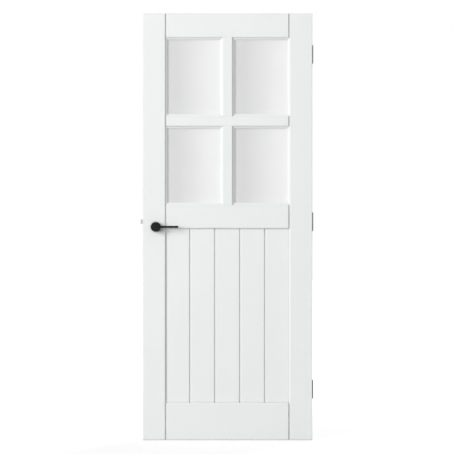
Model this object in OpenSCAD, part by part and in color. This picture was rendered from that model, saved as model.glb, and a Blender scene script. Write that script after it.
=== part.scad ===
// Glazed interior door leaf: four panes over a boarded panel, with a lever latch and butt hinges.
// Lengths are in millimetres. X runs to the right, Y runs away from the viewer, Z runs up.
// The origin is the middle of the leaf's bottom edge.

/* [Leaf] */
// Width of the leaf over both stiles
leaf_w = 840; // [800:1:900]
// Height of the leaf
leaf_h = 2115; // [2050:1:2200]
// Thickness of the stiles, rails and bars
leaf_t = 40; // [40:1:46]
// Width of each stile
stile_w = 114; // [110:1:125]
// Height of the top rail
top_rail_h = 121; // [100:1:140]
// Height of the rail between the panes and the panel
lock_rail_h = 120; // [112:1:150]
// Height of the bottom rail
bottom_rail_h = 185; // [150:1:220]
// Width of the bars between the panes
bar_w = 54; // [46:1:60]
// Chamfer along the inner edges of the stiles, rails and bars
chamfer = 5; // [2:0.5:6]
// Broken edge round the outside of the leaf
arris = 1.5; // [0.5:0.5:3]
// Diameter of the dowels in the rail joints
rail_dowel_d = 10; // [8:1:12]
// Length of the dowels in the rail joints
rail_dowel_l = 80; // [50:5:90]
// Diameter of the dowels in the upright bars
bar_dowel_d = 8; // [6:1:10]
// Length of the dowels in the upright bars
bar_dowel_l = 36; // [24:2:40]

/* [Glazing] */
// Height of each glazed opening
pane_open_h = 386; // [340:1:400]
// Thickness of the glass
glass_t = 4; // [4:1:6]
// Space round the edge of each pane
glass_gap = 3; // [2:0.5:4]
// Thickness of the glazing tape
tape_t = 1; // [0.5:0.5:2]
// Width of the glazing beads
bead_w = 8; // [7:0.5:10]
// Height of the glazing beads off the tape
bead_h = 9; // [8:0.5:12]
// Height of a bead's inner edge
bead_lip = 6; // [2:0.5:7]
// Flat on top of a bead, beside the wall
bead_flat = 1; // [0.5:0.5:2]
// Length of the blocks that carry each pane
block_l = 60; // [40:1:80]

/* [Panel] */
// Distance between the V joints of the boards
board_pitch = 124; // [110:1:126]
// Thickness of the boards
board_t = 18; // [16:1:20]
// V cut along the edges of the boards
board_v = 5; // [2:0.5:5]
// Thickness of the tongues between the boards
tongue_t = 5; // [4:0.5:6]
// Length of the tongues between the boards
tongue_l = 6; // [4:0.5:8]
// Depth of the groove that holds the boards
panel_groove = 12; // [11:1:14]
// How far the boards reach into that groove
panel_grip = 10; // [6:1:11]

/* [Lever] */
// Height of the lever's axis over the lower edge of the lock rail
lever_up = 9; // [0:1:20]
// Distance from the edge of the leaf to the lever's axis
backset = 65; // [60:1:75]
// How far the lever turns down, in degrees
lever_turn = 40; // [25:1:40]
// Diameter of the rose and of the lever's round head
rose_d = 48; // [46:1:54]
// Height of the rose
rose_h = 8; // [7.5:0.5:10]
// Wall of the rose
rose_wall = 1.2; // [0.8:0.1:1.6]
// Diameter of the lever's neck
neck_d = 20; // [18:1:22]
// Distance from the face of the leaf to the front of the lever
lever_out = 50; // [45:1:65]
// Thickness of the lever's round head
head_t = 14; // [13:1:18]
// Diameter of the lever's grip
grip_d = 10.5; // [8:0.5:12]
// Length from the lever's axis to the tip of the grip
lever_l = 112; // [100:1:130]
// Side of the square spindle
spindle_s = 8; // [7:0.5:9]

/* [Latch] */
// Thickness of the latch case over both plates
case_t = 16; // [16:0.5:18]
// Depth of the latch case past the lever's axis
case_back = 24; // [24:1:28]
// Height of the latch case over the lever's axis
case_up = 46; // [44:1:52]
// Depth of the latch case under the lever's axis
case_down = 40; // [32:1:44]
// Sheet thickness of the latch case
case_wall = 1.5; // [1:0.1:1.8]
// Thickness of the forend
forend_t = 3; // [2:0.5:4]
// Width of the forend
forend_w = 20; // [20:1:24]
// Height of the forend
forend_h = 150; // [140:1:170]
// Height of the latch bolt
bolt_h = 22; // [18:1:24]
// Thickness of the latch bolt
bolt_t = 12; // [8:0.5:12]
// Distance from the lever's axis to the tip of the follower's arm
arm_r = 17; // [15:0.5:18]

/* [Hinges] */
// Height of each hinge
hinge_h = 89; // [84:1:102]
// Width of a hinge leaf, measured from the pin's axis
hinge_leaf_w = 44.5; // [40:0.5:45]
// Thickness of the hinge leaves
hinge_t = 3; // [2.5:0.5:3.5]
// Gap between the leaf and the jamb
hinge_gap = 3; // [2:0.5:4]
// Distance from the back face of the leaf to the pin's axis
pin_out = 7; // [7:0.5:10]
// Diameter of the hinge knuckles
knuckle_d = 12; // [11:0.5:13]
// Diameter of the hinge pins
pin_d = 6; // [5:0.5:7]
// Distance from the top of the leaf to the middle of the top hinge
hinge_from_top = 200; // [150:1:250]
// Distance from the bottom of the leaf to the middle of the bottom hinge
hinge_from_bottom = 250; // [200:1:300]

/* [Hidden] */
$fn = 48;

// Clearances and working allowances
overrun = 1;
glue_fit = 0.05;
running_fit = 0.05;
slide_gap = 0.3;
seam = 0.4;
mitre_gap = 0.3;
board_fit = 0.1;
board_gap = 0.3;
hole_spare = 1;

// Colours of the finishes
lacquer = "whitesmoke";
wood = "burlywood";
satin_glass = "aliceblue";
tape_grey = "lightgray";
rubber = "dimgray";
powder_black = "#1b1b1c";
steel = "silver";
zinc = "darkgray";
nylon = "ivory";

// Places of the stiles, rails, bars and panes
half_t = leaf_t / 2;
edge_x = leaf_w / 2;
inner_x = edge_x - stile_w;
top_lo = leaf_h - top_rail_h;
upper_lo = top_lo - pane_open_h;
across_lo = upper_lo - bar_w;
lower_lo = across_lo - pane_open_h;
lock_lo = lower_lo - lock_rail_h;
left = [-inner_x, -bar_w / 2];
right = [bar_w / 2, inner_x];
upper = [upper_lo, top_lo];
lower = [lower_lo, across_lo];
openings = [[left, upper], [right, upper], [left, lower], [right, lower]];

// Places of the lever and the latch
lever_x = backset - edge_x;
lever_z = lock_lo + lever_up;
forend_x = forend_t - edge_x;
case_lo = lever_z - case_down;
case_hi = lever_z + case_up;

// Dowels, set clear of the latch case in the lock rail
dowel_edge = 16;
bottom_dowel_shares = [0.25, 0.5, 0.75];
top_dowel_shares = [0.3, 0.7];
lock_dowel_zs = [case_hi + dowel_edge, lower_lo - dowel_edge];
rail_dowel_zs = concat(
    [for (s = bottom_dowel_shares) s * bottom_rail_h],
    lock_dowel_zs,
    [across_lo + bar_w / 2],
    [for (s = top_dowel_shares) top_lo + s * top_rail_h]
);
bar_dowel_zs = [lower_lo, across_lo, upper_lo, top_lo];

// Panel of tongued and grooved boards
board_count = 5;
panel_x = inner_x + panel_grip;
joint_xs = [for (i = [1 : board_count - 1]) (i - board_count / 2) * board_pitch];

// Wood screws and machine screws
screw_tip = 3;
hinge_screw_r = 2.1;
hinge_screw_head_r = 4.2;
hinge_screw_l = 30;
hinge_hole_r = 2.4;
forend_screw_r = 1.9;
forend_screw_head_r = 3.8;
forend_screw_l = 22;
forend_hole_r = 2.1;
forend_screw_in = 10;
rose_screw_r = 1.6;
rose_screw_head_r = 3.2;
rose_screw_l = 12;
rose_hole_r = 1.8;
rose_screw_out = 17.5;
case_screw_r = 1.3;
case_screw_head_r = 2.4;
case_screw_l = 8;
case_hole_r = 1.5;
case_post_r = 3.5;
case_post_in = 6;
screw_fit = 0.1;

// Rose, bush, lever and spindle
rose_round = 2;
rose_rim_gap = 0.5;
plate_t = 5.5;
bush_wall = 3;
neck_in = 1;
head_round = 3;
head_dome = 1.2;
dome_steps = 4;
round_steps = 4;
grip_round = 1.5;
socket_depth = 19;
socket_fit = 0.1;
spindle_reach = 18;
grub_r = 2.5;
grub_out = 14;
grub_l = 5;
spindle_bore_r = 11;
head_lo = lever_out - head_t;
grip_out = lever_out - head_t / 2;

// Latch works: the follower's arm draws the bolt back by its lug
bolt_travel = arm_r * sin(lever_turn);
follower_r = 10;
boss_r = 9;
arm_w = 5;
arm_t = 6;
tip_r = 3;
arm_play = 0.7;
works_gap = 1;
side_gap = 0.5;
tail_h = 6;
lug_l = 5;
bolt_drop = 6;
bolt_head_in = 22;
nose_flat = 2;
tail_lo = arm_r + tip_r + works_gap;
tail_hi = tail_lo + tail_h;
bolt_lo = tail_lo - bolt_drop;
bolt_hi = bolt_lo + bolt_h;
lug_x = tip_r + arm_play;
lug_lo = follower_r + works_gap;
bolt_back = forend_x - lever_x + bolt_head_in;
stop_x = 8;
stop_l = 2.5;
stop_h = 12;
spring_r = 4;
spring_wire_r = 0.5;
spring_turns = 9;
spring_steps = 12;
spring_sides = 6;
spring_z = tail_hi + spring_r + spring_wire_r + slide_gap;
spigot_r = 2.8;
spigot_l = 7;

// Hinges: the pin stands behind the back face, in the gap beside the leaf
pin_x = edge_x + hinge_gap / 2;
pin_y = half_t + pin_out;
knuckle_r = knuckle_d / 2;
knuckle_count = 5;
washer_t = 1;
washer_gap = 0.1;
knuckle_step = (hinge_h + washer_t + 2 * washer_gap) / knuckle_count;
knuckle_l = knuckle_step - washer_t - 2 * washer_gap;
knuckle_notch = 0.5;
pin_head_r = 5;
pin_head_h = 3;
outer_hole_up = 34;
outer_hole_in = 32;
inner_hole_up = 12;
inner_hole_in = 22;
hinge_holes = [
    [-outer_hole_up, outer_hole_in],
    [-inner_hole_up, inner_hole_in],
    [inner_hole_up, inner_hole_in],
    [outer_hole_up, outer_hole_in]
];
bottom_hinge_z = hinge_from_bottom;
top_hinge_z = leaf_h - hinge_from_top;
middle_hinge_z = (bottom_hinge_z + top_hinge_z) / 2;
hinge_zs = [bottom_hinge_z, middle_hinge_z, top_hinge_z];

// Outline of a timber across its thickness, with its own cut at each end of the span
function edged(span, cuts) = [
    [span[0] + cuts[0], -half_t],
    [span[1] - cuts[1], -half_t],
    [span[1], cuts[1] - half_t],
    [span[1], half_t - cuts[1]],
    [span[1] - cuts[1], half_t],
    [span[0] + cuts[0], half_t],
    [span[0], half_t - cuts[0]],
    [span[0], cuts[0] - half_t]
];

// The same outline turned to stand across the leaf
function turned(outline) = [for (p = outline) [p[1], p[0]]];

// Points of an arc about a centre
function arc(centre, r, from, to) = [
    for (i = [0 : round_steps])
        let (a = from + (to - from) * i / round_steps)
            centre + r * [cos(a), sin(a)]
];

// End outline of an upright bar, scribed over the chamfers of the rails above and below it
function scribed(span) =
    let (deep = half_t - chamfer + seam, over = chamfer - seam)
        [
            [-half_t, span[1] + over], [-deep, span[1]], [deep, span[1]], [half_t, span[1] + over],
            [half_t, span[0] - over], [deep, span[0]], [-deep, span[0]], [-half_t, span[0] - over]
        ];

// Edge of a board that lies in a stile
function plain_edge(x, side) = [[x, -side * board_t / 2], [x, side * board_t / 2]];

// Edge of a board in a V joint: a tongue where reach is positive, a groove where it is negative
function joint_edge(x, side, thick, reach) =
    let (h = board_t / 2)
        [
            [x - side * board_v, -side * h], [x, -side * (h - board_v)],
            [x, -side * thick / 2], [x + side * reach, -side * thick / 2],
            [x + side * reach, side * thick / 2], [x, side * thick / 2],
            [x, side * (h - board_v)], [x - side * board_v, side * h]
        ];

// Outline extruded along X, its points given as Y and Z
module along_x(x0, length) {
    translate([x0, 0, 0])
        rotate([90, 0, 90])
            linear_extrude(length)
                children();
}

// A stile, rail or bar: its outline in plan and its outline across the leaf, cut together
module timber(x, z, x_cuts, z_cuts) {
    intersection() {
        translate([0, 0, z[0] - overrun])
            linear_extrude(z[1] - z[0] + 2 * overrun)
                polygon(edged(x, x_cuts));
        along_x(x[0] - overrun, x[1] - x[0] + 2 * overrun)
            polygon(turned(edged(z, z_cuts)));
    }
}

// Screw with its head at the origin, pointing down
module screw(shank_r, head_r, length) {
    rotate_extrude()
        polygon([
            [0, 0], [head_r, 0], [shank_r, shank_r - head_r],
            [shank_r, screw_tip - length], [0, -length]
        ]);
}

// Countersunk hole through a sheet for the same screw
module countersunk(hole_r, head_r, sheet) {
    mouth_r = head_r + screw_fit;
    translate([0, 0, hole_r - mouth_r])
        cylinder(r1 = hole_r, r2 = mouth_r, h = mouth_r - hole_r);
    translate([0, 0, -sheet - overrun])
        cylinder(r = hole_r, h = sheet + 2 * overrun);
}

// Hole in the wood for the same screw
module pilot(shank_r, length) {
    translate([0, 0, -length - hole_spare])
        cylinder(r = shank_r + glue_fit, h = length + hole_spare);
}

// Holes for the dowels in the ends of the rails
module rail_dowel_holes() {
    depth = rail_dowel_l + 2 * hole_spare;
    for (side = [-1, 1], z = rail_dowel_zs)
        translate([side * inner_x - depth / 2, 0, z])
            rotate([0, 90, 0])
                cylinder(d = rail_dowel_d + 2 * glue_fit, h = depth);
}

// Holes for the dowels in the ends of the upright bars
module bar_dowel_holes() {
    depth = bar_dowel_l + 2 * hole_spare;
    for (z = bar_dowel_zs)
        translate([0, 0, z - depth / 2])
            cylinder(d = bar_dowel_d + 2 * glue_fit, h = depth);
}

// Groove for the boards, cut round the panel in the stiles and rails
module panel_grooves() {
    wide = 2 * (inner_x + panel_groove);
    deep = board_t + 2 * board_fit;
    translate([-wide / 2, -deep / 2, bottom_rail_h - panel_groove])
        cube([wide, deep, lock_lo - bottom_rail_h + 2 * panel_groove]);
}

// Moves its children to the lever's axis, with the leaf's front face as their floor
module on_front() {
    translate([lever_x, -half_t, lever_z])
        rotate([90, 0, 0])
            children();
}

// The same on the back of the leaf
module on_back() {
    mirror([0, 1, 0])
        on_front()
            children();
}

// Forend outline with round ends, grown by a clearance
module forend_outline(grow) {
    straight = forend_h - forend_w;
    square([straight, forend_w + 2 * grow], center = true);
    for (side = [-1, 1])
        translate([side * straight / 2, 0])
            circle(d = forend_w + 2 * grow);
}

// Moves its children to the forend's outer face, pointing out of the leaf's edge
module on_forend(up) {
    translate([-edge_x, 0, (case_lo + case_hi) / 2 + up])
        rotate([0, -90, 0])
            children();
}

// Places of the two forend screws
module at_forend_screws() {
    for (side = [-1, 1])
        on_forend(side * (forend_h / 2 - forend_screw_in))
            children();
}

// Places of the two screws of a rose, over and under the lever's axis
module at_rose_screws() {
    for (side = [-1, 1])
        translate([0, side * rose_screw_out, plate_t])
            children();
}

// Places of the screws that close the latch case
module at_case_screws() {
    front_x = forend_x + case_wall + case_post_in;
    back_x = lever_x + case_back - case_wall - case_post_in;
    low_z = case_lo + case_wall + case_post_in;
    high_z = case_hi - case_wall - case_post_in;
    for (p = [[front_x, low_z], [back_x, low_z], [back_x, high_z]])
        translate([p[0], -case_t / 2, p[1]])
            rotate([90, 0, 0])
                children();
}

// Places of the screws of a hinge leaf whose outer face stands at x; side points out of that face
module at_hinge_screws(x, side, z) {
    for (p = hinge_holes)
        translate([x, pin_y - p[1], z + p[0]])
            rotate([0, side * 90, 0])
                children();
}

// Recess for a hinge leaf in the edge of the hinge stile
module hinge_recess(z) {
    translate([edge_x - hinge_t, pin_y - hinge_leaf_w, z - hinge_h / 2])
        cube([hinge_t + overrun, hinge_leaf_w, hinge_h]);
}

module lock_stile() {
    color(lacquer)
        difference() {
            timber([-edge_x, -inner_x], [0, leaf_h], [arris, chamfer], [arris, arris]);
            rail_dowel_holes();
            panel_grooves();
            on_forend(0)
                translate([0, 0, -forend_t])
                    linear_extrude(forend_t + overrun)
                        forend_outline(glue_fit);
            translate([forend_x - overrun, -case_t / 2 - slide_gap, case_lo - slide_gap])
                cube([
                    lever_x + case_back + slide_gap - forend_x + overrun,
                    case_t + 2 * slide_gap,
                    case_up + case_down + 2 * slide_gap
                ]);
            at_forend_screws()
                pilot(forend_screw_r, forend_screw_l);
            on_front()
                at_rose_screws()
                    pilot(rose_screw_r, rose_screw_l);
            on_back()
                at_rose_screws()
                    pilot(rose_screw_r, rose_screw_l);
            on_front()
                translate([0, 0, -leaf_t - overrun])
                    cylinder(r = spindle_bore_r, h = leaf_t + 2 * overrun);
        }
}

module hinge_stile() {
    color(lacquer)
        difference() {
            timber([inner_x, edge_x], [0, leaf_h], [chamfer, arris], [arris, arris]);
            rail_dowel_holes();
            panel_grooves();
            for (z = hinge_zs) {
                hinge_recess(z);
                at_hinge_screws(edge_x, 1, z)
                    pilot(hinge_screw_r, hinge_screw_l);
            }
        }
}

module top_rail() {
    color(lacquer)
        difference() {
            timber([-inner_x, inner_x], [top_lo, leaf_h], [chamfer, chamfer], [chamfer, arris]);
            rail_dowel_holes();
            bar_dowel_holes();
        }
}

module lock_rail() {
    color(lacquer)
        difference() {
            timber([-inner_x, inner_x], [lock_lo, lower_lo], [chamfer, chamfer], [chamfer, chamfer]);
            rail_dowel_holes();
            bar_dowel_holes();
            panel_grooves();
        }
}

module bottom_rail() {
    color(lacquer)
        difference() {
            timber([-inner_x, inner_x], [0, bottom_rail_h], [chamfer, chamfer], [arris, chamfer]);
            rail_dowel_holes();
            panel_grooves();
        }
}

module glazing_bar_across() {
    color(lacquer)
        difference() {
            timber([-inner_x, inner_x], [across_lo, upper_lo], [chamfer, chamfer], [chamfer, chamfer]);
            rail_dowel_holes();
            bar_dowel_holes();
        }
}

// Upright bar between two panes of one row
module upright_bar(row) {
    tall = row[1] - row[0] + 2 * chamfer;
    color(lacquer)
        difference() {
            intersection() {
                translate([0, 0, row[0] - chamfer - overrun])
                    linear_extrude(tall + 2 * overrun)
                        polygon(edged([left[1], right[0]], [chamfer, chamfer]));
                along_x(left[1] - overrun, bar_w + 2 * overrun)
                    polygon(scribed(row));
            }
            bar_dowel_holes();
        }
}

module upper_glazing_bar() {
    upright_bar(upper);
}

module lower_glazing_bar() {
    upright_bar(lower);
}

module frame_dowels() {
    color(wood) {
        for (side = [-1, 1], z = rail_dowel_zs)
            translate([side * inner_x - rail_dowel_l / 2, 0, z])
                rotate([0, 90, 0])
                    cylinder(d = rail_dowel_d, h = rail_dowel_l);
        for (z = bar_dowel_zs)
            translate([0, 0, z - bar_dowel_l / 2])
                cylinder(d = bar_dowel_d, h = bar_dowel_l);
    }
}

// Pane of satin glass, held clear of the wood all round
module pane(column, row) {
    color(satin_glass)
        translate([column[0] + glass_gap, -glass_t / 2, row[0] + glass_gap])
            cube([
                column[1] - column[0] - 2 * glass_gap,
                glass_t,
                row[1] - row[0] - 2 * glass_gap
            ]);
}

module pane_upper_left() {
    pane(left, upper);
}

module pane_upper_right() {
    pane(right, upper);
}

module pane_lower_left() {
    pane(left, lower);
}

module pane_lower_right() {
    pane(right, lower);
}

// Bead of one side with mitred ends, its back on the tape and its foot on the wood
module bead(length) {
    out = bead_w + overrun;
    intersection() {
        along_x(0, length)
            polygon([
                [0, 0], [-bead_h, 0], [-bead_h, bead_flat], [-bead_lip, bead_w], [0, bead_w]
            ]);
        translate([0, overrun, 0])
            rotate([90, 0, 0])
                linear_extrude(bead_h + 2 * overrun)
                    polygon([
                        [mitre_gap - overrun, -overrun],
                        [length - mitre_gap + overrun, -overrun],
                        [length - mitre_gap - out, out],
                        [mitre_gap + out, out]
                    ]);
    }
}

// Four mitred beads in front of a pane
module beads(column, row) {
    wide = column[1] - column[0];
    tall = row[1] - row[0];
    color(lacquer)
        translate([(column[0] + column[1]) / 2, -glass_t / 2 - tape_t, (row[0] + row[1]) / 2])
            for (side = [0, 1]) {
                mirror([0, 0, side])
                    translate([-wide / 2, 0, -tall / 2])
                        bead(wide);
                mirror([side, 0, 0])
                    translate([wide / 2, 0, -tall / 2])
                        rotate([0, -90, 0])
                            bead(tall);
            }
}

module front_beads_upper_left() {
    beads(left, upper);
}

module front_beads_upper_right() {
    beads(right, upper);
}

module front_beads_lower_left() {
    beads(left, lower);
}

module front_beads_lower_right() {
    beads(right, lower);
}

module back_beads_upper_left() {
    mirror([0, 1, 0])
        beads(left, upper);
}

module back_beads_upper_right() {
    mirror([0, 1, 0])
        beads(right, upper);
}

module back_beads_lower_left() {
    mirror([0, 1, 0])
        beads(left, lower);
}

module back_beads_lower_right() {
    mirror([0, 1, 0])
        beads(right, lower);
}

// Frame of tape between each pane and its beads, on both sides of the glass
module glazing_tapes() {
    color(tape_grey)
        for (opening = openings, side = [0, 1])
            mirror([0, side, 0])
                translate([0, -glass_t / 2, 0])
                    rotate([90, 0, 0])
                        linear_extrude(tape_t)
                            tape_outline(opening[0], opening[1]);
}

// Outline of a tape frame, from the edge of the glass to just inside the beads
module tape_outline(column, row) {
    inset = bead_w - mitre_gap;
    difference() {
        opening_outline(column, row, glass_gap);
        opening_outline(column, row, inset);
    }
}

// Outline of an opening, drawn in by an inset on every side
module opening_outline(column, row, inset) {
    translate([column[0] + inset, row[0] + inset])
        square([column[1] - column[0] - 2 * inset, row[1] - row[0] - 2 * inset]);
}

// Two blocks under each pane, at its quarter points
module setting_blocks() {
    quarter_shares = [0.25, 0.75];
    color(rubber)
        for (opening = openings, share = quarter_shares) {
            column = opening[0];
            middle = column[0] + share * (column[1] - column[0]);
            translate([middle - block_l / 2, -glass_t / 2, opening[1][0]])
                cube([block_l, glass_t, glass_gap]);
        }
}

// Board of the panel: outer edges lie in the stiles, the others meet in V joints
module board(index) {
    first = index == 0;
    last = index == board_count - 1;
    groove_t = tongue_t + 2 * board_fit;
    groove_l = tongue_l + board_gap;
    left_edge = first
        ? plain_edge(-panel_x, -1)
        : joint_edge(joint_xs[index - 1] + board_gap / 2, -1, groove_t, -groove_l);
    right_edge = last
        ? plain_edge(panel_x, 1)
        : joint_edge(joint_xs[index] - board_gap / 2, 1, tongue_t, tongue_l);
    color(lacquer)
        translate([0, 0, bottom_rail_h - panel_grip])
            linear_extrude(lock_lo - bottom_rail_h + 2 * panel_grip)
                polygon(concat(right_edge, left_edge));
}

module board_1() {
    board(0);
}

module board_2() {
    board(1);
}

module board_3() {
    board(2);
}

module board_4() {
    board(3);
}

module board_5() {
    board(4);
}

// Tray of the latch: floor, four walls, screw posts and the stop for the spring
module latch_case() {
    deep = case_t - case_wall;
    long = lever_x + case_back - forend_x;
    tall = case_up + case_down;
    color(zinc)
        difference() {
            union() {
                difference() {
                    translate([forend_x, case_wall - case_t / 2, case_lo])
                        cube([long, deep, tall]);
                    translate([forend_x + case_wall, -case_t / 2, case_lo + case_wall])
                        cube([long - 2 * case_wall, deep, tall - 2 * case_wall]);
                    translate([forend_x - overrun, -case_t / 2, lever_z + bolt_lo - slide_gap])
                        cube([
                            case_wall + 2 * overrun,
                            (case_t + bolt_t) / 2 + slide_gap,
                            bolt_h + 2 * slide_gap
                        ]);
                }
                at_case_screws()
                    translate([0, 0, -deep])
                        cylinder(r = case_post_r, h = deep - case_wall);
                translate([lever_x + stop_x, case_wall - case_t / 2, lever_z + tail_hi + slide_gap])
                    cube([stop_l, case_t - 2 * case_wall, stop_h]);
            }
            at_case_screws()
                pilot(case_screw_r, case_screw_l);
            translate([lever_x, case_t / 2 - case_wall - overrun, lever_z])
                rotate([-90, 0, 0])
                    cylinder(r = boss_r + running_fit, h = case_wall + 2 * overrun);
        }
}

module latch_cover() {
    color(zinc)
        difference() {
            translate([forend_x, -case_t / 2, case_lo])
                cube([lever_x + case_back - forend_x, case_wall, case_up + case_down]);
            at_case_screws()
                countersunk(case_hole_r, case_screw_head_r, case_wall);
            translate([lever_x, case_wall - case_t / 2 + overrun, lever_z])
                rotate([90, 0, 0])
                    cylinder(r = boss_r + running_fit, h = case_wall + 2 * overrun);
        }
}

module forend() {
    color(steel)
        difference() {
            on_forend(0)
                translate([0, 0, -forend_t])
                    linear_extrude(forend_t)
                        forend_outline(0);
            at_forend_screws()
                countersunk(forend_hole_r, forend_screw_head_r, forend_t);
            translate([
                -edge_x - overrun,
                -bolt_t / 2 - slide_gap,
                lever_z + bolt_lo - slide_gap
            ])
                cube([forend_t + 2 * overrun, bolt_t + 2 * slide_gap, bolt_h + 2 * slide_gap]);
        }
}

// Latch bolt: bevelled nose, tail over the follower's arm, and the lug that the arm draws back
module latch_bolt() {
    nose = -edge_x - lever_x - bolt_travel;
    color(steel)
        translate([lever_x, 0, lever_z]) {
            intersection() {
                translate([0, bolt_t / 2, 0])
                    rotate([90, 0, 0])
                        linear_extrude(bolt_t)
                            polygon([
                                [nose, bolt_lo], [bolt_back, bolt_lo],
                                [bolt_back, tail_lo], [lug_x, tail_lo],
                                [lug_x, lug_lo], [lug_x + lug_l, lug_lo],
                                [lug_x + lug_l, tail_hi], [bolt_back, tail_hi],
                                [bolt_back, bolt_hi], [nose, bolt_hi]
                            ]);
                translate([0, 0, lug_lo - overrun])
                    linear_extrude(bolt_hi - lug_lo + 2 * overrun)
                        polygon([
                            [nose, bolt_t / 2],
                            [nose, bolt_t / 2 - nose_flat],
                            [nose + bolt_travel, -bolt_t / 2],
                            [lug_x + lug_l + overrun, -bolt_t / 2],
                            [lug_x + lug_l + overrun, bolt_t / 2]
                        ]);
            }
            translate([bolt_back - overrun, 0, spring_z])
                rotate([0, 90, 0])
                    cylinder(r = spigot_r, h = spigot_l + overrun);
        }
}

// Follower on the spindle, with the arm that reaches up behind the bolt's lug
module follower() {
    wide = case_t - 2 * case_wall - 2 * side_gap;
    color(zinc)
        translate([lever_x, 0, lever_z])
            rotate([90, 0, 0])
                difference() {
                    union() {
                        translate([0, 0, -wide / 2])
                            cylinder(r = follower_r, h = wide);
                        translate([0, 0, -case_t / 2])
                            cylinder(r = boss_r, h = case_t);
                        translate([-arm_w / 2, 0, -arm_t / 2])
                            cube([arm_w, arm_r, arm_t]);
                        translate([0, arm_r, -arm_t / 2])
                            cylinder(r = tip_r, h = arm_t);
                    }
                    translate([0, 0, -case_t / 2 - overrun])
                        linear_extrude(case_t + 2 * overrun)
                            square(spindle_s + 2 * socket_fit, center = true);
                }
}

// Coiled spring between the bolt and the stop of the case
module latch_spring() {
    x0 = bolt_back + spring_wire_r + mitre_gap;
    length = stop_x - spring_wire_r - mitre_gap - x0;
    rings = spring_turns * spring_steps;
    points = [
        for (i = [0 : rings], k = [0 : spring_sides - 1])
            let (
                turn = 360 * i / spring_steps,
                a = 360 * k / spring_sides,
                r = spring_r + spring_wire_r * cos(a)
            )
                [x0 + length * i / rings + spring_wire_r * sin(a), r * cos(turn), r * sin(turn)]
    ];
    sides = [
        for (i = [0 : rings - 1], k = [0 : spring_sides - 1])
            let (
                here = i * spring_sides,
                next = here + spring_sides,
                l = (k + 1) % spring_sides
            )
                each [[here + k, here + l, next + l], [here + k, next + l, next + k]]
    ];
    start = [for (k = [spring_sides - 1 : -1 : 0]) k];
    end = [for (k = [0 : spring_sides - 1]) rings * spring_sides + k];
    color(steel)
        translate([lever_x, 0, lever_z + spring_z])
            polyhedron(points, concat([start, end], sides));
}

module latch_case_screws() {
    color(steel)
        at_case_screws()
            screw(case_screw_r, case_screw_head_r, case_screw_l);
}

module forend_screws() {
    color(steel)
        at_forend_screws()
            screw(forend_screw_r, forend_screw_head_r, forend_screw_l);
}

// Round cover over the fixing plate of the lever
module rose() {
    r = rose_d / 2;
    mouth_r = neck_d / 2 + rose_rim_gap;
    ceiling = rose_h - rose_wall;
    color(powder_black)
        rotate_extrude()
            polygon(concat(
                [[mouth_r, ceiling], [r - rose_wall, ceiling], [r - rose_wall, 0], [r, 0]],
                arc([r - rose_round, rose_h - rose_round], rose_round, 0, 90),
                [[mouth_r, rose_h]]
            ));
}

module rose_plate() {
    color(nylon)
        difference() {
            cylinder(r = rose_d / 2 - rose_wall - board_fit, h = plate_t);
            translate([0, 0, -overrun])
                cylinder(r = neck_d / 2 + bush_wall + running_fit, h = plate_t + 2 * overrun);
            at_rose_screws()
                countersunk(rose_hole_r, rose_screw_head_r, plate_t);
        }
}

module bush() {
    color(nylon)
        difference() {
            cylinder(r = neck_d / 2 + bush_wall, h = plate_t);
            translate([0, 0, -overrun])
                cylinder(r = neck_d / 2 + running_fit, h = plate_t + 2 * overrun);
        }
}

// Half outline of the lever's round head: soft edges and a slightly domed front
function head_outline() =
    let (r = rose_d / 2, flat_r = r - head_round, brow = lever_out - head_dome)
        concat(
            [[0, head_lo]],
            arc([flat_r, head_lo + head_round], head_round, -90, 0),
            arc([flat_r, brow - head_round], head_round, 0, 90),
            [
                for (i = [dome_steps - 1 : -1 : 0])
                    let (share = i / dome_steps)
                        [flat_r * share, lever_out - head_dome * share * share]
            ]
        );

// Lever turned and joined as one piece: neck, round head and slim grip
module lever() {
    grip_r = grip_d / 2;
    socket = spindle_s + 2 * socket_fit;
    color(powder_black)
        difference() {
            union() {
                translate([0, 0, neck_in])
                    cylinder(d = neck_d, h = grip_out - neck_in);
                rotate_extrude()
                    polygon(head_outline());
                translate([0, 0, grip_out])
                    rotate([0, 90, 0])
                        rotate_extrude()
                            polygon(concat(
                                [[0, 0], [grip_r, 0]],
                                arc([grip_r - grip_round, lever_l - grip_round], grip_round, 0, 90),
                                [[0, lever_l]]
                            ));
            }
            translate([0, 0, neck_in - overrun])
                linear_extrude(socket_depth + overrun)
                    square(socket, center = true);
            translate([0, 0, grub_out])
                rotate([90, 0, 0])
                    cylinder(r = grub_r + running_fit, h = neck_d);
        }
}

// Set screw that holds the lever on the spindle, from below
module grub_screw() {
    color(steel)
        translate([0, 0, grub_out])
            rotate([90, 0, 0])
                translate([0, 0, spindle_s / 2 + socket_fit])
                    cylinder(r = grub_r, h = grub_l);
}

module front_rose() {
    on_front()
        rose();
}

module front_rose_plate() {
    on_front()
        rose_plate();
}

module front_bush() {
    on_front()
        bush();
}

module front_lever() {
    on_front()
        lever();
}

module front_grub_screw() {
    on_front()
        grub_screw();
}

module back_rose() {
    on_back()
        rose();
}

module back_rose_plate() {
    on_back()
        rose_plate();
}

module back_bush() {
    on_back()
        bush();
}

module back_lever() {
    on_back()
        lever();
}

module back_grub_screw() {
    on_back()
        grub_screw();
}

module spindle() {
    color(steel)
        on_front()
            translate([0, 0, -leaf_t - spindle_reach])
                linear_extrude(leaf_t + 2 * spindle_reach)
                    square(spindle_s, center = true);
}

module rose_screws() {
    color(steel) {
        on_front()
            at_rose_screws()
                screw(rose_screw_r, rose_screw_head_r, rose_screw_l);
        on_back()
            at_rose_screws()
                screw(rose_screw_r, rose_screw_head_r, rose_screw_l);
    }
}

// Bottom of a knuckle, counted up from the foot of a hinge
function knuckle_lo(index, z) = z - hinge_h / 2 + index * knuckle_step;

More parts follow.
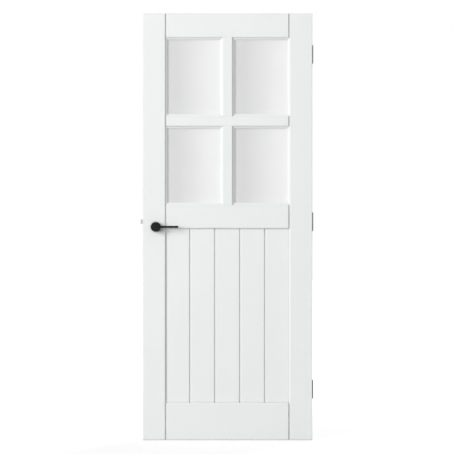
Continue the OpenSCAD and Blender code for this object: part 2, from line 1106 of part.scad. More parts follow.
// Hinge leaf with its own knuckles; side is -1 in the door's edge and 1 on the jamb
module hinge_leaf(z, side) {
    own = side < 0 ? [1, 3] : [0, 2, 4];
    other = side < 0 ? [0, 2, 4] : [1, 3];
    inner = pin_x + side * hinge_gap / 2;
    color(steel)
        difference() {
            union() {
                translate([min(inner, inner + side * hinge_t), pin_y - hinge_leaf_w, z - hinge_h / 2])
                    cube([hinge_t, hinge_leaf_w, hinge_h]);
                for (i = own)
                    translate([pin_x, pin_y, knuckle_lo(i, z)])
                        cylinder(r = knuckle_r, h = knuckle_l);
            }
            for (i = other)
                translate([pin_x, pin_y, knuckle_lo(i, z) - washer_t - 2 * washer_gap])
                    cylinder(
                        r = knuckle_r + knuckle_notch,
                        h = knuckle_l + 2 * (washer_t + 2 * washer_gap)
                    );
            translate([pin_x, pin_y, z - hinge_h / 2 - overrun])
                cylinder(r = pin_d / 2 + running_fit, h = hinge_h + 2 * overrun);
            at_hinge_screws(inner, -side, z)
                countersunk(hinge_hole_r, hinge_screw_head_r, hinge_t);
        }
}

module top_hinge_stile_leaf() {
    hinge_leaf(top_hinge_z, -1);
}

module middle_hinge_stile_leaf() {
    hinge_leaf(middle_hinge_z, -1);
}

module bottom_hinge_stile_leaf() {
    hinge_leaf(bottom_hinge_z, -1);
}

module top_hinge_frame_leaf() {
    hinge_leaf(top_hinge_z, 1);
}

module middle_hinge_frame_leaf() {
    hinge_leaf(middle_hinge_z, 1);
}

module bottom_hinge_frame_leaf() {
    hinge_leaf(bottom_hinge_z, 1);
}

// Hinge pin with a soft button at each end
module hinge_pin(z) {
    top = hinge_h / 2;
    tip = top + pin_head_h;
    r = pin_d / 2;
    round_r = pin_head_h / 2;
    color(steel)
        translate([pin_x, pin_y, z])
            rotate_extrude()
                polygon(concat(
                    [[0, -tip]],
                    arc([pin_head_r - round_r, round_r - tip], round_r, -90, 0),
                    [[pin_head_r, -top], [r, -top], [r, top], [pin_head_r, top]],
                    arc([pin_head_r - round_r, tip - round_r], round_r, 0, 90),
                    [[0, tip]]
                ));
}

module top_hinge_pin() {
    hinge_pin(top_hinge_z);
}

module middle_hinge_pin() {
    hinge_pin(middle_hinge_z);
}

module bottom_hinge_pin() {
    hinge_pin(bottom_hinge_z);
}

// Washer in each gap between the knuckles
module hinge_washers() {
    color(nylon)
        for (z = hinge_zs, i = [1 : knuckle_count - 1])
            translate([pin_x, pin_y, knuckle_lo(i, z) - washer_t - washer_gap])
                difference() {
                    cylinder(r = knuckle_r, h = washer_t);
                    translate([0, 0, -overrun])
                        cylinder(r = pin_d / 2 + running_fit, h = washer_t + 2 * overrun);
                }
}

module hinge_screws() {
    color(steel)
        for (z = hinge_zs)
            at_hinge_screws(edge_x, 1, z)
                screw(hinge_screw_r, hinge_screw_head_r, hinge_screw_l);
}

lock_stile();
hinge_stile();
top_rail();
lock_rail();
bottom_rail();
glazing_bar_across();
upper_glazing_bar();
lower_glazing_bar();
frame_dowels();
pane_upper_left();
pane_upper_right();
pane_lower_left();
pane_lower_right();
front_beads_upper_left();
front_beads_upper_right();
front_beads_lower_left();
front_beads_lower_right();
back_beads_upper_left();
back_beads_upper_right();
back_beads_lower_left();
back_beads_lower_right();
glazing_tapes();
setting_blocks();
board_1();
board_2();
board_3();
board_4();
board_5();
latch_case();
latch_cover();
forend();
latch_bolt();
follower();
latch_spring();
latch_case_screws();
forend_screws();
front_rose();
front_rose_plate();
front_bush();
front_lever();
front_grub_screw();
back_rose();
back_rose_plate();
back_bush();
back_lever();
back_grub_screw();
spindle();
rose_screws();
top_hinge_stile_leaf();
middle_hinge_stile_leaf();
bottom_hinge_stile_leaf();
top_hinge_frame_leaf();
middle_hinge_frame_leaf();
bottom_hinge_frame_leaf();
top_hinge_pin();
middle_hinge_pin();
bottom_hinge_pin();
hinge_washers();
hinge_screws();
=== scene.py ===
"""Dresses the glazed door leaf: finishes, soft edges, screw heads, studio light and camera."""

import logging
import math
from collections.abc import Iterable, Sequence
from dataclasses import dataclass
from enum import Enum
from functools import cache

import bmesh
import bpy
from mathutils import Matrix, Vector


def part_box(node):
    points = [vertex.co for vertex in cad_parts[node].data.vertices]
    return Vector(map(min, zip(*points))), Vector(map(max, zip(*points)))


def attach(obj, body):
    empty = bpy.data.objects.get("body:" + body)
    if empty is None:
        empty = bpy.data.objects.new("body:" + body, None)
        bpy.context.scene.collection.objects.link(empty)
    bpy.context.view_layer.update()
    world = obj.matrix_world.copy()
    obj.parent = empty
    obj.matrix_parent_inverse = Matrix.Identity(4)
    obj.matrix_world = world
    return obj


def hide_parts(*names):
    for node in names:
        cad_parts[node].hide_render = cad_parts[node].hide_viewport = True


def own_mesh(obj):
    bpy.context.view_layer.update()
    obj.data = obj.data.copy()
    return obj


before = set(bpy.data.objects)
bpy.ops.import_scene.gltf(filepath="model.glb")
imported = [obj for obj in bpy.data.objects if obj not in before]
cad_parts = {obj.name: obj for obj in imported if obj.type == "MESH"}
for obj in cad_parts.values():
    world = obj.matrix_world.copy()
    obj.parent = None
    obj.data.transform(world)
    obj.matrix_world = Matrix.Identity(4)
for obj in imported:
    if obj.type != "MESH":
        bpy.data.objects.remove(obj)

LOG = logging.getLogger("door")
MM = 0.001

WELD = 0.002 * MM  # points of a CAD mesh that are nearer than this are one point
FLAT = math.radians(0.5)  # faces that turn less than this are one face
CORNER = math.radians(25)  # edges that turn more than this can be rounded
ROUND_STEPS = 3
CROSS_ARM = 0.26  # half the width of a cross recess's arm, over its reach

MIX_SHARE, MIX_FIRST, MIX_SECOND, MIXED = 0, 6, 7, 2  # sockets of a Mix node for colours
RANDOM_MAX, RANDOM_OUT = 3, 1  # sockets of a Random Value node for floats


def linear(hex_colour: str) -> tuple[float, float, float, float]:
    """Turns an sRGB hex colour to linear.

    Args:
        hex_colour: The colour as "#RRGGBB".

    Returns:
        Red, green, blue and a full alpha.
    """
    parts = [int(hex_colour[i : i + 2], 16) / 255 for i in (1, 3, 5)]
    red, green, blue = [
        part / 12.92 if part <= 0.04045 else ((part + 0.055) / 1.055) ** 2.4 for part in parts
    ]
    return red, green, blue, 1.0


def place(
    tree: bpy.types.NodeTree,
    kind: str,
    ins: dict[str | int, object] | None = None,
    **settings: object,
) -> bpy.types.Node:
    """Adds a node to a tree.

    Args:
        tree: The tree that gets the node.
        kind: The node's type.
        ins: Values or output sockets for its inputs, by name or number.
        **settings: The node's own properties.

    Returns:
        The new node.
    """
    node = tree.nodes.new(kind)
    for name, value in settings.items():
        setattr(node, name, value)
    for key, value in (ins or {}).items():
        if isinstance(value, bpy.types.NodeSocket):
            tree.links.new(value, node.inputs[key])
        else:
            node.inputs[key].default_value = value
    return node


def blank(name: str) -> tuple[bpy.types.Material, bpy.types.Node, bpy.types.NodeSocket]:
    """Starts a material.

    Args:
        name: The material's name.

    Returns:
        The material, its surface shader and its Object coordinates.
    """
    material = bpy.data.materials.new(name)
    material.use_nodes = True
    shader = material.node_tree.nodes["Principled BSDF"]
    coordinates = place(material.node_tree, "ShaderNodeTexCoord").outputs["Object"]
    return material, shader, coordinates


class Axis(Enum):
    """Direction that a grain or a brush line runs in."""

    X = 0
    Z = 2

    def lines(self, width_mm: float, ratio: float) -> tuple[float, ...]:
        """Gives the scale of a texture that is drawn out along this axis.

        Args:
            width_mm: Width of one line.
            ratio: Length of a line over its width.

        Returns:
            Scale in X, Y and Z.
        """
        fine = 1 / (width_mm * MM)
        return tuple(fine / ratio if i == self.value else fine for i in range(3))


class Body(Enum):
    """Bodies that the pieces ride on."""

    LEAF = "leaf"
    HANDLE = "handle"
    FRAME_SIDE = "hinge_frame_side"


class Slot(Enum):
    """Names of material slots in the record."""

    LACQUER = "lacquered_wood"
    COAT = "black_powder_coat"
    STEEL = "satin_steel"


class Recess(Enum):
    """Driver recess in the head of a screw."""

    CROSS = "cross"
    HEX = "hex"

    def outline(self, reach: float) -> list[tuple[float, float]]:
        """Draws the recess.

        Args:
            reach: Distance from the screw's axis to the tips.

        Returns:
            Corners in order round the axis.
        """
        if self is Recess.HEX:
            turns = [math.radians(60 * i) for i in range(6)]
            return [(reach * math.cos(turn), reach * math.sin(turn)) for turn in turns]
        arm = CROSS_ARM * reach
        quarter = [(reach, -arm), (reach, arm), (arm, arm)]
        points = []
        for _ in range(4):
            points += quarter
            quarter = [(-y, x) for x, y in quarter]
        return points


@dataclass(frozen=True)
class SprayedLacquer:
    """White satin lacquer, sprayed on sanded wood.

    It gives a close, even white with a soft sheen, a faint orange peel and, in raking light, a
    trace of the grain under it. In the V joints and other crevices it is greyer: painted shade,
    mixed in by ambient occlusion.
    """

    name: str
    grain: Axis
    colour: str = "#EDF0EF"
    shade: str = "#E8ECEA"
    painted_shade: str = "#6A6E6C"
    tone_mm: float = 300.0
    nook_mm: float = 10.0
    nook_samples: int = 8
    peel_mm: float = 2.4
    peel_deep_mm: float = 0.25
    peel_bump: float = 0.4
    grain_mm: float = 1.6
    grain_ratio: float = 70.0
    grain_deep_mm: float = 0.36
    grain_bump: float = 0.45
    gloss: tuple[float, float] = (0.36, 0.48)
    ior: float = 1.5

    @cache
    def material(self) -> bpy.types.Material:
        """Builds the material, once.

        Returns:
            The material.
        """
        material, shader, at = blank(self.name)
        tree = material.node_tree
        tone = place(
            tree,
            "ShaderNodeTexNoise",
            {"Vector": at, "Scale": 1 / (self.tone_mm * MM), "Detail": 2.0},
        )
        colour = place(
            tree,
            "ShaderNodeMix",
            {
                MIX_SHARE: tone.outputs["Fac"],
                MIX_FIRST: linear(self.colour),
                MIX_SECOND: linear(self.shade),
            },
            data_type="RGBA",
        )
        peel = place(
            tree,
            "ShaderNodeTexNoise",
            {"Vector": at, "Scale": 1 / (self.peel_mm * MM), "Detail": 1.0},
        )
        drawn = place(
            tree,
            "ShaderNodeMapping",
            {"Vector": at, "Scale": self.grain.lines(self.grain_mm, self.grain_ratio)},
        )
        fibre = place(
            tree,
            "ShaderNodeTexNoise",
            {"Vector": drawn.outputs["Vector"], "Scale": 1.0, "Detail": 3.0},
        )
        gloss = place(
            tree,
            "ShaderNodeMapRange",
            {"Value": fibre.outputs["Fac"], "To Min": self.gloss[0], "To Max": self.gloss[1]},
        )
        grain = place(
            tree,
            "ShaderNodeBump",
            {
                "Strength": self.grain_bump,
                "Distance": self.grain_deep_mm * MM,
                "Height": fibre.outputs["Fac"],
            },
        )
        skin = place(
            tree,
            "ShaderNodeBump",
            {
                "Strength": self.peel_bump,
                "Distance": self.peel_deep_mm * MM,
                "Height": peel.outputs["Fac"],
                "Normal": grain.outputs["Normal"],
            },
        )
        # Painted shade: ambient occlusion greys the colour in V joints and other crevices.
        nook = place(
            tree,
            "ShaderNodeAmbientOcclusion",
            {"Distance": self.nook_mm * MM},
            samples=self.nook_samples,
        )
        height = place(tree, "ShaderNodeSeparateXYZ", {"Vector": at})
        # Painted shade stays off the foot, where the floor under the leaf would grey it.
        foot = place(
            tree,
            "ShaderNodeMapRange",
            {
                "Value": height.outputs["Z"],
                "From Max": self.nook_mm * MM,
                "To Min": 1.0,
                "To Max": 0.0,
            },
        )
        unshaded_share = place(
            tree,
            "ShaderNodeMath",
            {0: nook.outputs["AO"], 1: foot.outputs["Result"]},
            operation="MAXIMUM",
        )
        # Mixes the painted shade into the lacquer's colour.
        painted_shade_mix = place(
            tree,
            "ShaderNodeMix",
            {
                MIX_SHARE: unshaded_share.outputs[0],
                MIX_FIRST: linear(self.painted_shade),
                MIX_SECOND: colour.outputs[MIXED],
            },
            data_type="RGBA",
        )
        tree.links.new(painted_shade_mix.outputs[MIXED], shader.inputs["Base Color"])
        tree.links.new(gloss.outputs["Result"], shader.inputs["Roughness"])
        tree.links.new(skin.outputs["Normal"], shader.inputs["Normal"])
        shader.inputs["IOR"].default_value = self.ior
        return material


@dataclass(frozen=True)
class SatinGlass:
    """Float glass etched with acid.

    It lets light through as a milky glow, hides what is behind it, and carries painted reflection
    and shade:
    its colour runs from a cool grey to white across each pane. The etch is drawn coarser than it
    is, so that it shows.
    """

    name: str
    first_x: float
    pitch: float
    width: float
    etch_mm: float = 0.8
    deep_mm: float = 0.02
    bump: float = 0.2
    gloss: tuple[float, float] = (0.42, 0.56)
    clear: float = 0.32
    ior: float = 1.52
    painted_reflection_tones: tuple[tuple[float, str], ...] = (
        (0.00, "#ECECEC"),
        (0.10, "#E8E8E8"),
        (0.22, "#E9E9EA"),
        (0.36, "#EFEFF0"),
        (0.55, "#F5F5F6"),
        (0.75, "#FCFCFC"),
        (0.90, "#FEFEFE"),
        (1.00, "#FFFFFF"),
    )

    @cache
    def material(self) -> bpy.types.Material:
        """Builds the material, once.

        Returns:
            The material.
        """
        material, shader, at = blank(self.name)
        tree = material.node_tree
        across = place(tree, "ShaderNodeSeparateXYZ", {0: at}).outputs["X"]
        from_first = place(
            tree, "ShaderNodeMath", {0: across, 1: self.first_x}, operation="SUBTRACT"
        )
        in_pane = place(
            tree,
            "ShaderNodeMath",
            {0: from_first.outputs[0], 1: self.pitch},
            operation="FLOORED_MODULO",
        )
        share = place(
            tree, "ShaderNodeMath", {0: in_pane.outputs[0], 1: self.width}, operation="DIVIDE"
        )
        # Painted reflection and shade: grey at each pane's left edge, white at its right.
        ramp = place(tree, "ShaderNodeValToRGB", {"Fac": share.outputs[0]})
        stops = ramp.color_ramp.elements
        stops[0].position, stops[0].color = self.painted_reflection_tones[0][0], linear(self.painted_reflection_tones[0][1])
        stops[1].position, stops[1].color = self.painted_reflection_tones[-1][0], linear(self.painted_reflection_tones[-1][1])
        for position, tone in self.painted_reflection_tones[1:-1]:
            stops.new(position).color = linear(tone)
        etch = place(
            tree,
            "ShaderNodeTexNoise",
            {"Vector": at, "Scale": 1 / (self.etch_mm * MM), "Detail": 2.0},
        )
        gloss = place(
            tree,
            "ShaderNodeMapRange",
            {"Value": etch.outputs["Fac"], "To Min": self.gloss[0], "To Max": self.gloss[1]},
        )
        bump = place(
            tree,
            "ShaderNodeBump",
            {
                "Strength": self.bump,
                "Distance": self.deep_mm * MM,
                "Height": etch.outputs["Fac"],
            },
        )
        tree.links.new(ramp.outputs["Color"], shader.inputs["Base Color"])
        tree.links.new(gloss.outputs["Result"], shader.inputs["Roughness"])
        tree.links.new(bump.outputs["Normal"], shader.inputs["Normal"])
        shader.inputs["Transmission Weight"].default_value = self.clear
        shader.inputs["IOR"].default_value = self.ior
        return material


@dataclass(frozen=True)
class Moulded:
    """Matt finish with a fine grit: powder coat, nylon, foam or rubber.

    It gives an even colour with a soft, broad highlight that the grit breaks up.
    """

    name: str
    colour: str
    shade: str
    gloss: tuple[float, float]
    grit_mm: float
    deep_mm: float
    specular: float = 0.5
    bump: float = 0.5

    @cache
    def material(self) -> bpy.types.Material:
        """Builds the material, once.

        Returns:
            The material.
        """
        material, shader, at = blank(self.name)
        tree = material.node_tree
        grit = place(
            tree,
            "ShaderNodeTexNoise",
            {"Vector": at, "Scale": 1 / (self.grit_mm * MM), "Detail": 3.0},
        )
        colour = place(
            tree,
            "ShaderNodeMix",
            {
                MIX_SHARE: grit.outputs["Fac"],
                MIX_FIRST: linear(self.colour),
                MIX_SECOND: linear(self.shade),
            },
            data_type="RGBA",
        )
        gloss = place(
            tree,
            "ShaderNodeMapRange",
            {"Value": grit.outputs["Fac"], "To Min": self.gloss[0], "To Max": self.gloss[1]},
        )
        bump = place(
            tree,
            "ShaderNodeBump",
            {
                "Strength": self.bump,
                "Distance": self.deep_mm * MM,
                "Height": grit.outputs["Fac"],
            },
        )
        tree.links.new(colour.outputs[MIXED], shader.inputs["Base Color"])
        tree.links.new(gloss.outputs["Result"], shader.inputs["Roughness"])
        tree.links.new(bump.outputs["Normal"], shader.inputs["Normal"])
        shader.inputs["Specular IOR Level"].default_value = self.specular
        return material


@dataclass(frozen=True)
class BrushedMetal:
    """Plated steel with fine brush lines.

    It gives a soft metal grey whose highlight is drawn out across the lines.
    """

    name: str
    colour: str
    shade: str
    brush: Axis
    gloss: tuple[float, float]
    line_mm: float = 0.7
    line_ratio: float = 40.0
    deep_mm: float = 0.02
    bump: float = 0.15

    @cache
    def material(self) -> bpy.types.Material:
        """Builds the material, once.

        Returns:
            The material.
        """
        material, shader, at = blank(self.name)
        tree = material.node_tree
        drawn = place(
            tree,
            "ShaderNodeMapping",
            {"Vector": at, "Scale": self.brush.lines(self.line_mm, self.line_ratio)},
        )
        lines = place(
            tree,
            "ShaderNodeTexNoise",
            {"Vector": drawn.outputs["Vector"], "Scale": 1.0, "Detail": 4.0},
        )
        colour = place(
            tree,
            "ShaderNodeMix",
            {
                MIX_SHARE: lines.outputs["Fac"],
                MIX_FIRST: linear(self.colour),
                MIX_SECOND: linear(self.shade),
            },
            data_type="RGBA",
        )
        gloss = place(
            tree,
            "ShaderNodeMapRange",
            {"Value": lines.outputs["Fac"], "To Min": self.gloss[0], "To Max": self.gloss[1]},
        )
        bump = place(
            tree,
            "ShaderNodeBump",
            {
                "Strength": self.bump,
                "Distance": self.deep_mm * MM,
                "Height": lines.outputs["Fac"],
            },
        )
        tree.links.new(colour.outputs[MIXED], shader.inputs["Base Color"])
        tree.links.new(gloss.outputs["Result"], shader.inputs["Roughness"])
        tree.links.new(bump.outputs["Normal"], shader.inputs["Normal"])
        shader.inputs["Metallic"].default_value = 1.0
        return material


@dataclass(frozen=True)
class PlanedBeech:
    """Bare beech, planed.

    It gives a warm pale brown with short darker flecks along the grain.
    """

    name: str
    colour: str = "#CDA877"
    fleck: str = "#B08A5A"
    fleck_mm: float = 0.9
    fleck_ratio: float = 8.0
    roughness: float = 0.6

    @cache
    def material(self) -> bpy.types.Material:
        """Builds the material, once.

        Returns:
            The material.
        """
        material, shader, at = blank(self.name)
        tree = material.node_tree
        drawn = place(
            tree,
            "ShaderNodeMapping",
            {"Vector": at, "Scale": Axis.X.lines(self.fleck_mm, self.fleck_ratio)},
        )
        flecks = place(
            tree,
            "ShaderNodeTexNoise",
            {"Vector": drawn.outputs["Vector"], "Scale": 1.0, "Detail": 4.0},
        )
        colour = place(
            tree,
            "ShaderNodeMix",
            {
                MIX_SHARE: flecks.outputs["Fac"],
                MIX_FIRST: linear(self.colour),
                MIX_SECOND: linear(self.fleck),
            },
            data_type="RGBA",
        )
        tree.links.new(colour.outputs[MIXED], shader.inputs["Base Color"])
        shader.inputs["Roughness"].default_value = self.roughness
        return material


def dress(material: bpy.types.Material, nodes: Iterable[str]) -> None:
    """Puts a finish on CAD nodes.

    Args:
        material: The finish.
        nodes: Names of the nodes.
    """
    for node in nodes:
        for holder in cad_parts[node].material_slots:
            holder.material = material
        LOG.info("%s: %s", node, material.name)


def settle(
    piece: bpy.types.Object,
    body: Body,
    nodes: Sequence[str],
    material: bpy.types.Material,
) -> None:
    """Gives a finished piece its finish and its place in the frame.

    Args:
        piece: The piece, in place.
        body: The body it rides on.
        nodes: CAD nodes that it stands for.
        material: Its finish.
    """
    piece.data.materials.clear()
    piece.data.materials.append(material)
    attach(piece, body.value)
    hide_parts(*nodes)
    LOG.info("%s: %s, %d faces", piece.name, material.name, len(piece.data.polygons))


def new_piece(name: str, mesh: bpy.types.Mesh) -> bpy.types.Object:
    """Links a mesh to the scene as an object at the origin.

    Args:
        name: Name of the object.
        mesh: Its mesh.

    Returns:
        The object.
    """
    piece = bpy.data.objects.new(name, mesh)
    bpy.context.scene.collection.objects.link(piece)
    return piece


def middle(node: str) -> Vector:
    """Gives the middle of a CAD node's box."""
    low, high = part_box(node)
    return (low + high) / 2


def welded(node: str) -> bmesh.types.BMesh:
    """Opens a copy of a CAD node's mesh, with its double points made one.

    Args:
        node: The CAD node.

    Returns:
        The copy, to work on.
    """
    work = bmesh.new()
    work.from_mesh(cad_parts[node].data)
    bmesh.ops.remove_doubles(work, verts=work.verts, dist=WELD)
    return work


def closed(work: bmesh.types.BMesh, name: str) -> bpy.types.Mesh:
    """Ends the work on a mesh.

    Args:
        work: The mesh in work, which is freed.
        name: Name of the mesh that is kept.

    Returns:
        The kept mesh.
    """
    mesh = bpy.data.meshes.new(name)
    work.to_mesh(mesh)
    work.free()
    return mesh


def softened(node: str, round_mm: float, long_mm: float) -> bpy.types.Object:
    """Copies a CAD node with its long outer edges rounded, as sanding and lacquer leave them.

    Args:
        node: The CAD node.
        round_mm: Width of the rounding.
        long_mm: Shortest edge that is rounded.

    Returns:
        The copy.
    """
    work = welded(node)
    bmesh.ops.dissolve_limit(work, angle_limit=FLAT, verts=work.verts, edges=work.edges)
    edges = [
        edge
        for edge in work.edges
        if len(edge.link_faces) == 2
        and edge.is_convex
        and edge.calc_length() > long_mm * MM
        and edge.calc_face_angle() > CORNER
    ]
    bmesh.ops.bevel(
        work,
        geom=edges,
        offset=round_mm * MM,
        offset_type="OFFSET",
        segments=ROUND_STEPS,
        profile=0.5,
        affect="EDGES",
        clamp_overlap=True,
    )
    name = f"soft_{node}"
    return new_piece(name, closed(work, name))


def smoothed(node: str, sharp_deg: float) -> bpy.types.Object:
    """Copies a CAD node of turned shapes, shaded smooth up to an angle.

    Args:
        node: The CAD node.
        sharp_deg: Edges that turn more than this stay sharp.

    Returns:
        The copy.
    """
    name = f"smooth_{node}"
    mesh = closed(welded(node), name)
    mesh.shade_smooth()
    mesh.set_sharp_from_angle(angle=math.radians(sharp_deg))
    return new_piece(name, mesh)


@dataclass(frozen=True)
class Screw:
    """One screw with a driver recess, its head at the origin and facing +Z; sizes in mm.

    The point is a share of the shank's radius, and the taper one of the recess's reach.
    """

    head_r: float
    shank_r: float
    length: float
    tip: float
    recess: Recess
    reach: float
    depth: float
    least_neck: float = 0.3
    point: float = 0.25
    taper: float = 0.75
    sides: int = 28

    def ring(self, work: bmesh.types.BMesh, radius: float, z: float) -> list[bmesh.types.BMVert]:
        """Adds one round of points.

        Args:
            work: The mesh that gets them.
            radius: Radius in mm.
            z: Height in mm.

        Returns:
            The points.
        """
        turns = [2 * math.pi * i / self.sides for i in range(self.sides)]
        return [
            work.verts.new((radius * math.cos(turn) * MM, radius * math.sin(turn) * MM, z * MM))
            for turn in turns
        ]

    def mesh(self) -> bpy.types.Mesh:
        """Builds the screw: turned body, flat head and sunk recess.

        Returns:
            The screw's mesh.
        """
        work = bmesh.new()
        neck = self.head_r - self.shank_r
        rims = [
            self.ring(work, self.head_r, 0),
            self.ring(work, self.shank_r, -max(neck, self.least_neck)),
            self.ring(work, self.shank_r, self.tip - self.length),
            self.ring(work, self.point * self.shank_r, -self.length),
        ]
        for upper, lower in zip(rims, rims[1:]):
            for i in range(self.sides):
                j = (i + 1) % self.sides
                work.faces.new((upper[j], upper[i], lower[i], lower[j]))
        work.faces.new(reversed(rims[-1]))
        mouth = [work.verts.new((x * MM, y * MM, 0)) for x, y in self.recess.outline(self.reach)]
        floor = [
            work.verts.new((x * MM, y * MM, -self.depth * MM))
            for x, y in self.recess.outline(self.reach * self.taper)
        ]
        for i in range(len(mouth)):
            j = (i + 1) % len(mouth)
            work.faces.new((mouth[i], mouth[j], floor[j], floor[i]))
        work.faces.new(floor)
        rim_edges = [work.edges.get((rims[0][i - 1], rims[0][i])) for i in range(self.sides)]
        mouth_edges = [work.edges.get((mouth[i - 1], mouth[i])) for i in range(len(mouth))]
        bmesh.ops.triangle_fill(work, use_beauty=True, edges=rim_edges + mouth_edges)
        bmesh.ops.recalc_face_normals(work, faces=work.faces)
        return closed(work, "screw")


@dataclass(frozen=True)
class ScrewRows:
    """Pairs of one screw in rows, all set by one node tree; places in metres."""

    screw: Screw
    first: tuple[float, float, float]
    spread: tuple[float, float, float]
    lean: tuple[float, float, float]
    rows: int = 1
    step: tuple[float, float, float] = (0.0, 0.0, 0.0)
    seed: int = 4

    @staticmethod
    def tree() -> bpy.types.NodeTree:
        """Builds the node tree, or finds it if it is there.

        Returns:
            The node tree.
        """
        found = bpy.data.node_groups.get("screw_rows")
        if found:
            return found
        tree = bpy.data.node_groups.new("screw_rows", "GeometryNodeTree")
        for name, kind in (
            ("Screw", "NodeSocketObject"),
            ("Rows", "NodeSocketInt"),
            ("First", "NodeSocketVector"),
            ("Step", "NodeSocketVector"),
            ("Spread", "NodeSocketVector"),
            ("Lean", "NodeSocketVector"),
            ("Seed", "NodeSocketInt"),
            ("Finish", "NodeSocketMaterial"),
        ):
            tree.interface.new_socket(name, in_out="INPUT", socket_type=kind)
        tree.interface.new_socket("Geometry", in_out="OUTPUT", socket_type="NodeSocketGeometry")
        given = place(tree, "NodeGroupInput").outputs
        row_line = place(
            tree,
            "GeometryNodeMeshLine",
            {"Count": given["Rows"], "Start Location": given["First"], "Offset": given["Step"]},
            mode="OFFSET",
        )
        back = place(
            tree, "ShaderNodeVectorMath", {0: given["Spread"], "Scale": -1.0}, operation="SCALE"
        )
        whole = place(
            tree, "ShaderNodeVectorMath", {0: given["Spread"], "Scale": 2.0}, operation="SCALE"
        )
        pair = place(
            tree,
            "GeometryNodeMeshLine",
            {
                "Count": 2,
                "Start Location": back.outputs["Vector"],
                "Offset": whole.outputs["Vector"],
            },
            mode="OFFSET",
        )
        pairs = place(
            tree,
            "GeometryNodeInstanceOnPoints",
            {"Points": row_line.outputs["Mesh"], "Instance": pair.outputs["Mesh"]},
        )
        points = place(
            tree, "GeometryNodeRealizeInstances", {"Geometry": pairs.outputs["Instances"]}
        )
        screw = place(tree, "GeometryNodeObjectInfo", {"Object": given["Screw"]})
        lean = place(tree, "FunctionNodeEulerToRotation", {0: given["Lean"]})
        screws = place(
            tree,
            "GeometryNodeInstanceOnPoints",
            {
                "Points": points.outputs["Geometry"],
                "Instance": screw.outputs["Geometry"],
                "Rotation": lean.outputs["Rotation"],
            },
        )
        angle = place(
            tree,
            "FunctionNodeRandomValue",
            {RANDOM_MAX: 2 * math.pi, "Seed": given["Seed"]},
            data_type="FLOAT",
        )
        spin = place(tree, "ShaderNodeCombineXYZ", {"Z": angle.outputs[RANDOM_OUT]})
        turn = place(tree, "FunctionNodeEulerToRotation", {0: spin.outputs["Vector"]})
        driven = place(
            tree,
            "GeometryNodeRotateInstances",
            {
                "Instances": screws.outputs["Instances"],
                "Rotation": turn.outputs["Rotation"],
                "Local Space": True,
            },
        )
        real = place(
            tree, "GeometryNodeRealizeInstances", {"Geometry": driven.outputs["Instances"]}
        )
        done = place(
            tree,
            "GeometryNodeSetMaterial",
            {"Geometry": real.outputs["Geometry"], "Material": given["Finish"]},
        )
        place(tree, "NodeGroupOutput", {0: done.outputs["Geometry"]})
        return tree

    def mesh(self, name: str, material: bpy.types.Material) -> bpy.types.Mesh:
        """Sets the screws and turns them to one plain mesh.

        Args:
            name: Name of the mesh.
            material: Finish of the screws.

        Returns:
            The mesh.
        """
        pattern = new_piece(f"{name}_pattern", self.screw.mesh())
        holder = new_piece(f"{name}_rows", bpy.data.meshes.new(name))
        modifier = holder.modifiers.new("rows", "NODES")
        modifier.node_group = self.tree()
        values = {
            "Screw": pattern,
            "Rows": self.rows,
            "First": self.first,
            "Step": self.step,
            "Spread": self.spread,
            "Lean": self.lean,
            "Seed": self.seed,
            "Finish": material,
        }
        for item in modifier.node_group.interface.items_tree:
            if item.in_out == "INPUT":
                modifier[item.identifier] = values[item.name]
        depsgraph = bpy.context.evaluated_depsgraph_get()
        mesh = bpy.data.meshes.new_from_object(
            holder.evaluated_get(depsgraph), depsgraph=depsgraph
        )
        bpy.data.objects.remove(holder)
        bpy.data.objects.remove(pattern)
        return mesh


def joined(name: str, meshes: Sequence[bpy.types.Mesh]) -> bpy.types.Object:
    """Joins meshes into one piece.

    Args:
        name: Name of the piece.
        meshes: The meshes.

    Returns:
        The piece.
    """
    work = bmesh.new()
    for mesh in meshes:
        work.from_mesh(mesh)
    return new_piece(name, closed(work, name))


@dataclass
class Joinery:
    """Stiles, rails, glazing bars and the dowels in their joints."""

    upright: SprayedLacquer
    level: SprayedLacquer
    dowel: PlanedBeech
    round_mm: float = 0.8
    long_mm: float = 200.0

    def build(self) -> None:
        """Rounds the timbers' long edges and lacquers them along their grain."""
        upright, level = self.upright.material(), self.level.material()
        for node in ("lock_stile", "hinge_stile", "upper_glazing_bar", "lower_glazing_bar"):
            self.timber(node, upright)
        for node in ("top_rail", "lock_rail", "bottom_rail", "glazing_bar_across"):
            self.timber(node, level)
        dress(self.dowel.material(), ["frame_dowels"])

    def timber(self, node: str, material: bpy.types.Material) -> None:
        """Makes one timber.

        Args:
            node: The CAD node that it stands for.
            material: Its lacquer.
        """
        piece = softened(node, self.round_mm, self.long_mm)
        settle(piece, Body.LEAF, [node], material)


@dataclass
class BoardPanel:
    """Upright boards with V joints."""

    lacquer: SprayedLacquer
    count: int = 5
    round_mm: float = 0.6
    long_mm: float = 100.0

    def build(self) -> None:
        """Rounds the boards' edges and lacquers them."""
        material = self.lacquer.material()
        for number in range(1, self.count + 1):
            node = f"board_{number}"
            piece = softened(node, self.round_mm, self.long_mm)
            settle(piece, Body.LEAF, [node], material)


@dataclass
class Glazing:
    """Four panes with their beads, tapes and setting blocks."""

    glass: SatinGlass
    lacquer: SprayedLacquer
    tape: Moulded
    block: Moulded
    round_mm: float = 0.5
    long_mm: float = 100.0

    def build(self) -> None:
        """Dresses the panes and what holds them."""
        panes = [f"{row}_{column}" for row in ("upper", "lower") for column in ("left", "right")]
        dress(self.glass.material(), [f"pane_{pane}" for pane in panes])
        dress(self.tape.material(), ["glazing_tapes"])
        dress(self.block.material(), ["setting_blocks"])
        material = self.lacquer.material()
        for side in ("front", "back"):
            for pane in panes:
                node = f"{side}_beads_{pane}"
                piece = softened(node, self.round_mm, self.long_mm)
                settle(piece, Body.LEAF, [node], material)


